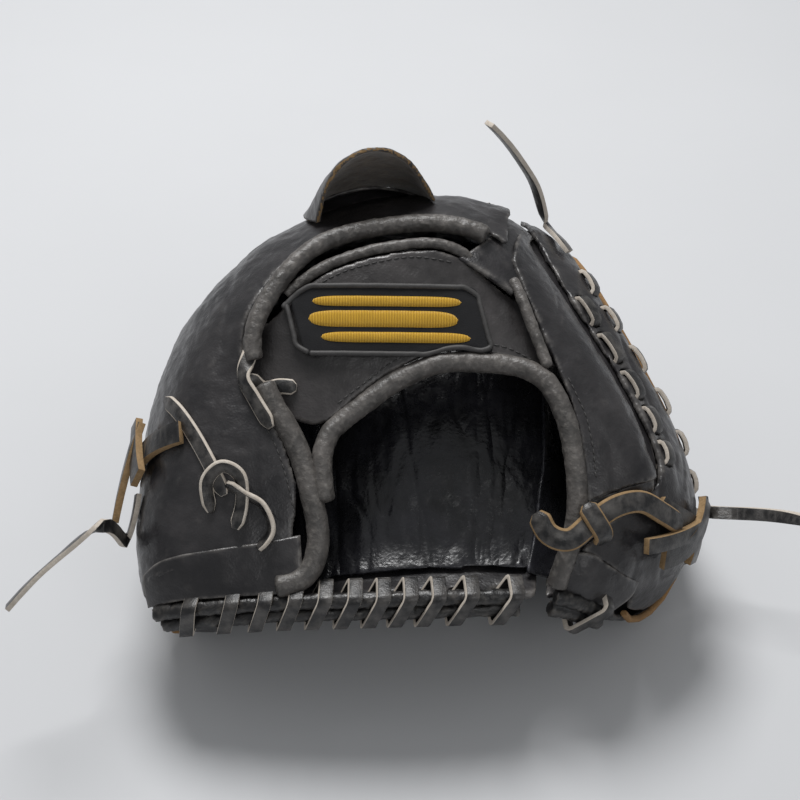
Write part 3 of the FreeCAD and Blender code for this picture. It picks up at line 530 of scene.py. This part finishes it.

# %% [markdown]
# ## Hide between the panels
# Real panels are sewn to each other through a hidden strip, so no daylight shows at a seam. Each strip here is a
# sheet between two lines, tucked under the panels on both sides. Where it joins the thumb to the hand it rides
# with neither body.


# %% Gusset
def gusset(name, line_a, line_b, material, thick_mm=2.0, bulge_mm=0.0, body="mitt", across=24, crease_mm=0.5):
    """A leather sheet between two lines of as many points, in millimetres. bulge_mm arches it between them."""
    rails = [smooth_line(points, 8) for points in (line_a, line_b)]
    grid = [[a.lerp(b, j / across) for j in range(across + 1)] for a, b in zip(*rails)]
    outs = []
    for i, row in enumerate(grid):
        out_row = []
        for j in range(len(row)):
            along = grid[min(i + 1, len(grid) - 1)][j] - grid[max(i - 1, 0)][j]
            over = row[min(j + 1, len(row) - 1)] - row[max(j - 1, 0)]
            out_row.append(along.cross(over).normalized())
        outs.append(out_row)
    middle = sum((o for row in outs for o in row), Vector())
    flip = 1.0 if middle.z - middle.y > 0 else -1.0
    mesh = bmesh.new()
    verts = []
    for row, out_row in zip(grid, outs):
        made = []
        for j, (place, out) in enumerate(zip(row, out_row)):
            arch = math.sin(math.pi * j / across) * bulge_mm
            spread = Vector((place.x * 1.2, place.y * 0.8, place.z)) / (11 * MM)
            wave = noise.fractal(spread, 0.8, 2.1, 3) * crease_mm
            made.append(mesh.verts.new(place + out * flip * (arch + wave) * MM))
        verts.append(made)
    skin_between(mesh, verts)
    obj = mesh_piece(name, mesh, body, [material])
    thicken = obj.modifiers.new("hide thickness", "SOLIDIFY")
    thicken.thickness = thick_mm * MM
    thicken.offset = 0
    apply_all(obj)
    return obj


# %% Gussets of the hand
BACK_EDGE = [(-128, -110, 70), (-121, -111, 79), (-112, -112, 84.5), (-99, -112.5, 88), (-85, -111.5, 90)]
BACK_EDGE += [(-72, -110, 91), (-58, -107.5, 92.5)]
BIND_EDGE = [(-126, -118, 58), (-118, -121.5, 64.5), (-108, -123.5, 69), (-96, -125.3, 72), (-84, -126.3, 74)]
BIND_EDGE += [(-72, -126.8, 75.5), (-56, -127.3, 77)]
gusset("heel_gusset", BACK_EDGE, BIND_EDGE, SHELL, 2.4, 0.6)
TOP_A = [(12, -10, 171), (22, 0, 171.5), (32, 18, 168), (33, 30, 164.5), (33, 42, 159)]
TOP_B = [(36, -22, 160), (42, -4, 161.5), (45, 17, 158), (47, 29, 154), (49, 42, 147)]
gusset("top_gusset", TOP_A, TOP_B, SHELL, 2.2, 1.0)
print("hand gussets made")

# %% Gussets to the thumb
CREASE_A = [(42, -108, 70), (46, -91, 77), (49, -72.5, 87), (51, -62, 91), (52, -45, 98.8), (52.5, -27, 107)]
CREASE_A += [(53, -7, 115), (52.5, 15, 121.5), (52, 34, 124), (50, 54, 123)]
CREASE_B = [(64, -108, 64.5), (65, -92, 68.5), (66, -75, 73), (66.5, -62, 78), (67, -45, 86), (67.5, -28, 93.5)]
CREASE_B += [(67.5, -10, 101), (67.5, 14, 108.5), (66.5, 32, 111.5), (65, 52, 111.5)]
crease_strip = gusset("crease_gusset", CREASE_A, CREASE_B, LINING, 1.6, -1.0, None, crease_mm=0.3)
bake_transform(crease_strip)
SEAM_A = [(97, -78, 96), (93, -66, 103.5), (87, -53, 112), (80, -38, 119), (70, -23, 128), (60.5, -7, 136)]
SEAM_A += [(52, 8, 143), (46, 22, 148.5), (42, 36, 150)]
SEAM_B = [(101, -76, 91), (101, -62, 97.5), (97, -48, 104), (90, -33, 112), (81, -16, 121), (72, 0, 129.5)]
SEAM_B += [(62.5, 14, 137), (55, 31, 142), (51, 48, 141)]
seam_strip = gusset("side_seam_gusset", SEAM_A, SEAM_B, SHELL, 1.8, 0.0, None)
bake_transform(seam_strip)
CROTCH_A = [(33, 38, 161), (33.5, 50, 153), (32.5, 63, 141), (30.5, 76, 125)]
CROTCH_B = [(49, 38, 148), (51, 50, 141), (51, 62, 135), (50, 75, 127)]
crotch_strip = gusset("crotch_gusset", CROTCH_A, CROTCH_B, SHELL, 1.8, 0.0, None)
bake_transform(crotch_strip)
# The web turns half as far as the thumb.
WING_A = [(33, 66, 140), (32.5, 77, 126), (30, 86, 113), (25, 94, 100), (18, 103, 88), (12, 110, 78)]
WING_B = [(47, 77, 125), (44, 84, 116), (41, 92, 108), (39, 97, 100), (38.5, 98, 92), (40, 92, 85)]
wing = gusset("web_wing_finger_side", WING_A, WING_B, SHELL, 2.2, 1.0, None)
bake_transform(wing)
THUMB_A = [(49, 77, 126), (57, 81, 117.5), (60, 84.5, 108.5), (62.5, 88, 100), (64, 91, 92.5), (64, 92, 86)]
THUMB_B = [(54, 78.5, 127), (62, 80, 119.5), (66, 79.5, 110), (73, 77, 102), (78, 78, 92), (81, 81, 82)]
wing = gusset("web_wing_thumb_side", THUMB_A, THUMB_B, SHELL, 2.2, 1.0, None)
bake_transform(wing)
HEEL_A = [(60, -101, 97), (67, -96, 101), (74, -93, 102), (82, -90, 103), (90, -86, 103), (98, -81, 101.5)]
HEEL_B = [(60, -112, 84), (67, -108, 88), (75, -101, 91.5), (83, -94, 93), (91, -87, 93.5), (98, -80.5, 93.5)]
gusset("thumb_side_gusset", HEEL_A, HEEL_B, SHELL, 2.0, 1.0, "thumb")
LOW_A = [(58, -111, 86), (69.7, -111.3, 85), (76, -111.5, 79.5), (83, -110.5, 72.5), (88, -108, 66.5)]
LOW_A += [(93, -104.5, 60)]
LOW_B = [(53, -119, 70), (58, -121, 68), (63, -121, 65), (68, -120.5, 62), (73, -119.5, 59), (79, -118, 55)]
gusset("thumb_heel_gusset", LOW_A, LOW_B, SHELL, 2.2, 2.0, "thumb")
print("thumb gussets made")

# %% [markdown]
# ## Laces
# A lace is rawhide dyed on its faces and then cut, so its edges stay pale. The solid already has the flat section:
# a ray sent in from each face measures how thick the lace is there, and the thin way means a dyed face.


# %% Lace
def lace(node, width_mm=6.0, thick_mm=2.2, edge=LACE_EDGE, slant=0.0, rides=True):
    """A CAD lace with dyed faces, pale cut edges and worn corners. slant leans it along the heel."""
    obj = copy_of(node, node + "_piece")
    mesh = bmesh.new()
    mesh.from_mesh(obj.data)
    bmesh.ops.remove_doubles(mesh, verts=mesh.verts, dist=0.02 * MM)
    bmesh.ops.recalc_face_normals(mesh, faces=mesh.faces)
    rays = BVHTree.FromBMesh(mesh)
    limit = (width_mm + thick_mm) / 2 * MM
    for face in mesh.faces:
        inside = face.calc_center_median() - face.normal * 0.03 * MM
        depth = rays.ray_cast(inside, -face.normal, 0.1)[3]
        face.material_index = 0 if depth is not None and depth < limit else 1
    flat = {"angle_limit": 0.03, "verts": mesh.verts, "edges": mesh.edges, "delimit": {"MATERIAL"}}
    bmesh.ops.dissolve_limit(mesh, **flat)
    if slant:
        middle = (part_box(node)[0][2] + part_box(node)[1][2]) / 2
        for vertex in mesh.verts:
            vertex.co.x += (vertex.co.z - middle) * slant
    mesh.to_mesh(obj.data)
    mesh.free()
    soften = obj.modifiers.new("worn corners", "BEVEL")
    soften.width = 0.16 * thick_mm * MM
    soften.segments = 2
    soften.limit_method = "ANGLE"
    soften.angle_limit = math.radians(40)
    apply_all(obj)
    return finished(obj, BODY_OF[node] if rides else None, [LACE_FACE, edge], node)


# %% Every lace
for node in ("rim_lace_fingers", "rim_lace_thumb", "seam_lace", "heel_lace_end", "thumb_lace_end", "top_lace_end"):
    lace(node)
for node in ("heel_lace", "thumb_heel_lace"):
    lace(node, slant=0.42)
web_tie = lace("web_lace_fingers", 4.8, rides=False)
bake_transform(web_tie)
web_tie = lace("web_lace_thumb", 4.8, rides=False)
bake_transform(web_tie)
for node in ("little_finger_knot", "thumb_knot"):
    lace(node, 10.0, 3.2, TAN_EDGE)
print("laces done")

# %% [markdown]
# ## Laces tied by hand
# Two laces tie the strap to the little finger's side and a thick one ties the thumb. They are soft: they lie flat,
# turn on edge where they are pulled tight, and end in cut tips. A ribbon is swept along places on the leather, with
# a turn at each place, so that its pale edge comes into view where the lace twists.

# %% Ribbon
TOPS = [tree_of(obj) for obj in (hand_back, strap, bpy.data.objects["heel_side_roll_skin"])]


def on_top(x, y, lift):
    """The highest place on the back of the mitt over (x, y), raised by lift, and the way it looks. Millimetres."""
    best, looks_up = Vector((x, y, 0)) * MM, Vector((0, 0, 1))
    for tree in TOPS:
        hit = tree.ray_cast(Vector((x, y, 260)) * MM, DOWN, 0.4)
        if hit[0] is not None and hit[0].z > best.z:
            best, looks_up = hit[0], hit[1]
    return best / MM + looks_up * lift, looks_up


def ribbon(name, body, places, width_mm, thick_mm, materials, *nodes):
    """A flat lace through (point in mm, outward direction, turn in degrees)."""
    line = smooth_line([p for p, out, turn in places], 12)
    outs = smooth_line([out / MM for p, out, turn in places], 12)
    turns = smooth_line([(turn / MM, 0, 0) for p, out, turn in places], 12)
    mesh = bmesh.new()
    half, thin, round_off = width_mm / 2, thick_mm / 2, 0.3 * thick_mm
    near, deep = half - round_off, thin - round_off
    section = [(-half, -deep), (-near, -thin), (near, -thin), (half, -deep)]
    section += [(half, deep), (near, thin), (-near, thin), (-half, deep)]
    rings = []
    for i, place in enumerate(line):
        ahead = (line[min(i + 1, len(line) - 1)] - line[max(i - 1, 0)]).normalized()
        out = (outs[i] - ahead * outs[i].dot(ahead)).normalized()
        side = out.cross(ahead)
        angle = math.radians(turns[i].x)
        cos, sin = math.cos(angle), math.sin(angle)
        side, out = side * cos + out * sin, out * cos - side * sin
        tip = min(1.0, 0.45 + min(i, len(line) - 1 - i) / 6)
        rings.append([mesh.verts.new(place + (side * a * tip + out * b) * MM) for a, b in section])
    for a, b in zip(rings, rings[1:]):
        for j in range(8):
            face = mesh.faces.new((a[j], a[(j + 1) % 8], b[(j + 1) % 8], b[j]))
            face.material_index = 0 if j in (1, 5) else 1
    mesh.faces.new(rings[0]).material_index = 1
    mesh.faces.new(rings[-1]).material_index = 1
    return mesh_piece(name, mesh, body, materials, *nodes)


def laid(*steps):
    """Places for a ribbon from (x, y, lift, turn) steps on the back of the mitt."""
    return [(*on_top(x, y, lift), turn) for x, y, lift, turn in steps]


# %% Ties on the back
THIN = [LACE_FACE, LACE_EDGE]
THICK = [LACE_FACE, TAN_EDGE]
strip = laid((-119, -50, 1.5, 0), (-112, -62, 1.5, 5), (-104, -75, 1.6, 10), (-96, -88, 2.2, 15), (-91, -96, 2.4, 10))
ribbon("finger_tie_strip", "mitt", strip, 7.0, 2.2, THIN, "finger_lace")
loop = laid((-97, -101, 1.4, 30), (-98, -92, 4.0, 40), (-91, -87, 6.0, 40))
loop += laid((-84, -91, 5.0, 30), (-83, -99, 3.0, 20), (-86, -107, 2.0, 15))
ribbon("finger_tie_loop", "mitt", loop, 6.5, 2.2, THIN)
tail = laid((-90, -93, 4.5, 50), (-82, -96, 4.0, 60), (-74, -100, 3.0, 65), (-70, -107, 2.6, 60), (-76, -113, 2.4, 45))
ribbon("finger_tie_tail", "mitt", tail, 5.5, 2.2, THIN)
hoop = laid((-80, -40, 1.4, 35), (-84, -47, 3.0, 40), (-83, -56, 3.4, 35), (-78, -64, 3.2, 30), (-71, -74, 2.2, 25))
ribbon("strap_tie_loop", "mitt", hoop, 7.0, 2.2, THIN, "strap_lace")
cross = laid((-82, -55, 1.6, 10), (-75, -55, 2.6, 8), (-67, -55.5, 2.6, 5), (-60, -57, 1.4, 0))
ribbon("strap_tie_cross", "mitt", cross, 7.0, 2.2, THIN)
print("hand ties laid")

# %% Tie of the thumb
OUT = Vector((0.25, -0.72, 0.65))
path = [((45, -106, 105), 35), ((50, -113, 99), 20), ((59, -114.5, 97), 5), ((69, -108, 101), 0)]
path += [((80, -101, 104), 0), ((92, -94, 100), -5), ((103, -91, 90), -10), ((112, -88, 80), -15)]
ribbon("thumb_tie_strip", "thumb", [(Vector(p), OUT, turn) for p, turn in path], 10.0, 3.0, THICK)
wrap = [((66, -104, 108), 0), ((70, -109, 104), 0), ((74, -111, 97), 0), ((74, -109, 90), 0)]
ribbon("thumb_tie_wrap", "thumb", [(Vector(p), OUT, turn) for p, turn in wrap], 9.0, 3.0, THICK)
print("thumb tie laid")

# %% Lining stitches
# Short pale laces hold the lining to the felt; each shows for about a centimetre.
lining_tree = tree_of(lining)
for number, (x, y, swing) in enumerate(((-24, -30, 0.25), (12, -20, 0.15), (38, -16, -0.5))):
    steps = []
    for along in (-5, -2, 2, 5):
        hit = lining_tree.ray_cast(Vector((x + along, y + along * swing, 118)) * MM, DOWN, 0.2)
        if hit[0] is not None:
            steps.append((hit[0] / MM + hit[1] * 0.5, hit[1], 0))
    if len(steps) == 4:
        ribbon("lining_stitch_" + str(number + 1), "mitt", steps, 2.4, 1.2, [LACE_EDGE])
print("lining stitched")

# %% [markdown]
# ## Patch and embroidery
# The strap carries a cloth patch. Its face is measured first: the middle, the way it looks and the way it runs.
# Bars and border are then laid on it by casting rays back along that direction, so they follow its curve.

# %% Patch
patch_low, patch_high = (Vector(corner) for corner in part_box("strap_patch"))
patch_middle = (patch_low + patch_high) / 2
strap_tree = tree_of(strap)
near_patch = [p for p in strap.data.polygons if (p.center - patch_middle).length < 0.03]
outer = [p for p in near_patch if p.normal.z > 0.2 and p.normal.y < 0.3]
looks = sum((p.normal * p.area for p in outer), Vector()).normalized()
runs = (Vector((1, 0, 0)) - looks * looks.x).normalized()
rises = looks.cross(runs)
print("patch looks along", [round(v, 2) for v in looks])


def on_strap(s_mm, t_mm, lift_mm):
    """The place on the strap that lies s along the patch and t up it from its middle."""
    start = patch_middle + (runs * s_mm + rises * t_mm + looks * 30) * MM
    hit = strap_tree.ray_cast(start, -looks, 0.08)
    return hit[0] + looks * lift_mm * MM if hit[0] is not None and hit[1].dot(looks) > 0.2 else None


# %% Patch cloth
HALF_LONG, HALF_HIGH, LEAN = 44.0, 16.0, -0.25


def patch_place(u, v, lift_mm):
    """u and v run from -1 to 1 over a slanted patch with rounded corners."""
    pull = 1 - 0.05 * (abs(u) ** 8) * (abs(v) ** 8)
    for shrink in range(12):
        high = v * (1 - 0.04 * shrink) * pull
        place = on_strap((u * HALF_LONG + v * HALF_HIGH * LEAN) * pull, high * HALF_HIGH, lift_mm)
        if place is not None:
            return place
    return None


cloth = bmesh.new()
rows = []
for i in range(81):
    row = [patch_place(i / 40 - 1, j / 16 - 1, 1.9) for j in range(33)]
    if all(row):
        rows.append([cloth.verts.new(p) for p in row])
skin_between(cloth, rows)
patch = mesh_piece("strap_patch_cloth", cloth, "mitt", [CLOTH], "strap_patch")
patch_thick = patch.modifiers.new("cloth thickness", "SOLIDIFY")
patch_thick.thickness = 1.8 * MM
patch_thick.offset = 0
print("patch rows", len(rows))

# %% Patch border
# A wound border keeps the cloth from fraying.
EDGE = [(i / 10 - 1, -1) for i in range(1, 20)] + [(1, j / 4 - 1) for j in range(1, 8)]
EDGE += [(1 - i / 10, 1) for i in range(1, 20)] + [(-1, 1 - j / 4) for j in range(1, 8)] + [(-0.9, -1)]
border = [patch_place(u * 0.985, v * 0.96, 2.8) for u, v in EDGE]
border = [p / MM for p in border if p is not None]
roll("strap_patch_border", "mitt", border, 1.2, THREAD, pucker_mm=0.08)
print("border places", len(border))


# %% Gold bars
def bar(name, u_from, u_to, v_mid, half):
    """A raised bar of satin stitch with pulled-in ends."""
    mesh = bmesh.new()
    rows = []
    for i in range(61):
        share = i / 60
        taper = math.sqrt(max(0.0, 1 - abs(2 * share - 1) ** 8))
        row = []
        for j in range(9):
            across = (j / 4 - 1) * half * taper
            lift = 2.75 + math.sqrt(max(0.0, 1 - (j / 4 - 1) ** 2)) * taper
            row.append(patch_place(u_from + (u_to - u_from) * share, v_mid + across, lift))
        if all(row):
            rows.append([mesh.verts.new(p) for p in row])
    skin_between(mesh, rows)
    print(name, "rows", len(rows))
    return mesh_piece(name, mesh, "mitt", [GOLD])


bar("gold_bar_upper", -0.72, 0.80, 0.52, 0.15)
bar("gold_bar_middle", -0.80, 0.72, 0.02, 0.24)
bar("gold_bar_lower", -0.72, 0.80, -0.50, 0.15)

# %% [markdown]
# ## Stitch lines
# Waxed thread runs beside every roll, about eight stitches to the inch. Each stitch is a short, fat-bellied bump of
# thread laid on the leather.


# %% Stitches
def stitches(name, body, places, step_mm=3.4, long_mm=2.5, radius_mm=0.42):
    """A row of stitches through (point in metres, outward direction)."""
    mesh = bmesh.new()
    walked, wanted = 0.0, 0.0
    for (a, out), (b, _) in zip(places, places[1:]):
        run = (b - a).length
        while wanted < walked + run:
            middle = a.lerp(b, (wanted - walked) / run)
            ahead = (b - a).normalized()
            side = out.cross(ahead).normalized()
            rings = []
            for i in range(5):
                belly = math.sin(math.pi * (0.12 + 0.76 * i / 4)) * radius_mm
                centre = middle + ahead * (i / 4 - 0.5) * long_mm * MM
                turns = [k * math.tau / 6 for k in range(6)]
                around = [side * math.cos(turn) + out * math.sin(turn) for turn in turns]
                rings.append([mesh.verts.new(centre + way * belly * MM) for way in around])
            skin_between(mesh, rings, closed=True)
            mesh.faces.new(rings[0])
            mesh.faces.new(rings[-1])
            wanted += step_mm * MM
        walked += run
    return mesh_piece(name, mesh, body, [THREAD])


def beside(tree, points, shift, up=Vector((0, -0.3, 1))):
    """Places on a skin under a smooth line that is moved by shift, in millimetres."""
    found = []
    for place in smooth_line(points, 8):
        start = place + Vector(shift) * MM + up.normalized() * 20 * MM
        hit = tree.ray_cast(start, -up.normalized(), 0.05)
        if hit[0] is not None and hit[1].dot(up) > 0.2:
            found.append((hit[0] + hit[1] * 0.1 * MM, hit[1]))
    return found


def middles(node, axis, count):
    """The middles of a long node in even steps along an axis, in millimetres."""
    places = [vertex.co / MM for vertex in NODES[node].data.vertices]
    low, high = min(p[axis] for p in places), max(p[axis] for p in places)
    step = (high - low) / count
    parts = [[p for p in places if low + i * step <= p[axis] <= low + (i + 1) * step] for i in range(count)]
    return [sum(part, Vector()) / len(part) for part in parts if part]


rows = {
    "strap_stitches_lower": beside(strap_tree, ARCH[4:13], (0, 7.0, 4.0)),
    "strap_stitches_upper": beside(strap_tree, middles("strap_edge_roll", 0, 5), (0, -6.5, -2.0)),
    "back_stitches": beside(tree_of(hand_back), STAY[1:8], (-9.0, -1.0, 0)),
    "side_stitches": beside(tree_of(side_panel), ARCH[13:17], (8.5, 2.0, 4.0)),
}
for name, places in rows.items():
    print(name, len(places))
    if len(places) > 3:
        stitches(name, "mitt", places)

# %% [markdown]
# ## Floor, light and camera
# The mitt lies on a pale sheet under one wide soft light, with a weaker one in front. The camera looks down over the
# heel at 40 degrees.

# %% Floor and room
bpy.ops.mesh.primitive_plane_add(size=12.0, location=(0, 0, cad_low.z))
ground = bpy.context.object
ground.name = "pale_surface"
paper = Finish("Matt paper, pale grey", 0.95)
paper.link(paper.mix(paper.noise(180), rgb("#C6C7C9"), rgb("#CBCCCE")), "Base Color")
ground.data.materials.append(paper.material)
ground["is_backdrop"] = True

world = bpy.data.worlds.new("Pale room")
bpy.context.scene.world = world
world.use_nodes = True
world.node_tree.nodes["Background"].inputs["Color"].default_value = rgb("#DDDFE1")
world.node_tree.nodes["Background"].inputs["Strength"].default_value = 0.45


# %% Lights
def area_light(name, place, target, size, power):
    light = bpy.data.lights.new(name, "AREA")
    light.shape = "DISK"
    light.size = size
    light.energy = power
    made = bpy.data.objects.new(name, light)
    made.location = place
    made.rotation_euler = (Vector(target) - Vector(place)).to_track_quat("-Z", "Y").to_euler()
    bpy.context.collection.objects.link(made)
    return made


area_light("Wide light above", (-0.2, 0.55, 1.4), (0, 0, 0.05), 0.7, 21)
area_light("Light from the front", (0.6, -1.3, 1.1), (0, 0, 0.05), 0.8, 3)

# %% Camera
heel_to_origin = Vector((-27.57, -119.85, -0.83)) * MM
camera_data = bpy.data.cameras.new("Camera")
camera = bpy.data.objects.new("Camera", camera_data)
bpy.context.collection.objects.link(camera)
camera.location = Vector((13.2, -528.5, 624.6)) * MM + heel_to_origin
camera.rotation_euler = (math.radians(90 - 40), 0, 0)
camera_data.sensor_width = 36
camera_data.lens = 77.7
bpy.context.scene.camera = camera
bpy.context.scene.view_settings.view_transform = "Standard"
